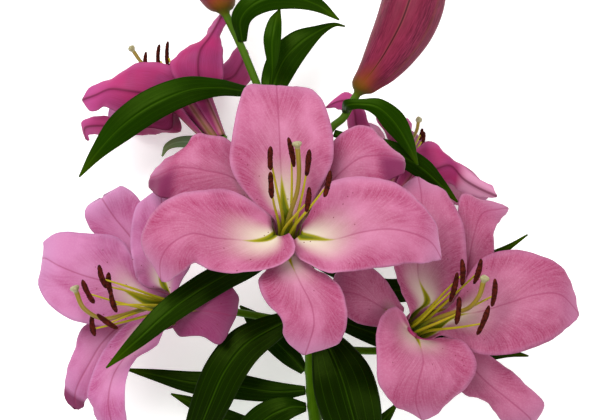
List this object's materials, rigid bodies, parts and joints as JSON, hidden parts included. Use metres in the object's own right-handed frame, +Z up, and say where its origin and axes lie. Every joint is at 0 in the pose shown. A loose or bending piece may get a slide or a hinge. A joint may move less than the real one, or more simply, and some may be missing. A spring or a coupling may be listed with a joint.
{
  "type": "cut lily stem",
  "caption": "Cut lily stem lying on a surface, with open pink flowers that show petals, sepals, stamens and pistils, closed buds, and long pointed green leaves.",
  "frame": {"origin": "on the surface that the stem lies on, under the middle of its bounding box", "axes": "+Y along the stem from its cut end to its tip, +Z up from the surface, towards the viewer of the front flower, +X to the right for that viewer"},
  "size_m": [0.3626, 0.6145, 0.1822],
  "materials": {
    "petal": "soft satin petal, pink with a paler throat and a yellow-green groove",
    "pollen": "matt maroon pollen on yellow-green filaments",
    "stem": "smooth fleshy green stem, satin",
    "bud": "smooth deep rose bud, orange and olive at its foot",
    "leaf": "glossy dark green leaf with pale parallel veins"
  },
  "bodies": {
    "root": {"arching_leaf": "leaf", "back_right_flower_front_petal": "petal", "back_right_flower_left_sepal": "petal", "back_right_flower_left_under_petal": "petal", "back_right_flower_right_sepal": "petal", "back_right_flower_right_under_petal": "petal", "back_right_flower_stalk_and_pistil": "stem", "back_right_flower_stamens": "pollen", "back_right_flower_under_sepal": "petal", "broad_left_leaf": "leaf", "broad_right_leaf": "leaf", "front_flower_left_petal": "petal", "front_flower_lower_sepal": "petal", "front_flower_right_petal": "petal", "front_flower_stalk_and_pistil": "stem", "front_flower_stamens": "pollen", "front_flower_top_petal": "petal", "front_flower_upper_left_sepal": "petal", "front_flower_upper_right_sepal": "petal", "leaf_before_right_flower": "leaf", "leaf_behind_broad_leaf": "leaf", "leaf_behind_right_flower": "leaf", "leaf_over_left_flower": "leaf", "leaf_over_upper_left_flower": "leaf", "left_bud": "bud", "left_flower_lower_left_sepal": "petal", "left_flower_lower_petal": "petal", "left_flower_right_petal": "petal", "left_flower_right_sepal": "petal", "left_flower_stalk_and_pistil": "stem", "left_flower_stamens": "pollen", "left_flower_upper_left_petal": "petal", "left_flower_upper_sepal": "petal", "left_leaf": "leaf", "low_right_leaf": "leaf", "lower_front_leaf": "leaf", "lower_left_leaf": "leaf", "main_stem": "stem", "pale_back_leaf": "leaf", "right_back_leaf": "leaf", "right_bud": "bud", "right_bud_leaf": "leaf", "right_flower_left_sepal": "petal", "right_flower_lower_petal": "petal", "right_flower_lower_right_sepal": "petal", "right_flower_right_petal": "petal", "right_flower_stalk_and_pistil": "stem", "right_flower_stamens": "pollen", "right_flower_top_petal": "petal", "right_flower_upper_right_sepal": "petal", "small_upper_leaf": "leaf", "upper_leaf": "leaf", "upper_left_flower_left_petal": "petal", "upper_left_flower_lower_left_sepal": "petal", "upper_left_flower_right_petal": "petal", "upper_left_flower_stalk_and_pistil": "stem", "upper_left_flower_stamens": "pollen", "upper_left_flower_under_petal": "petal", "upper_left_flower_under_sepal": "petal", "upper_left_flower_upper_sepal": "petal"}
  },
  "joints": []
}
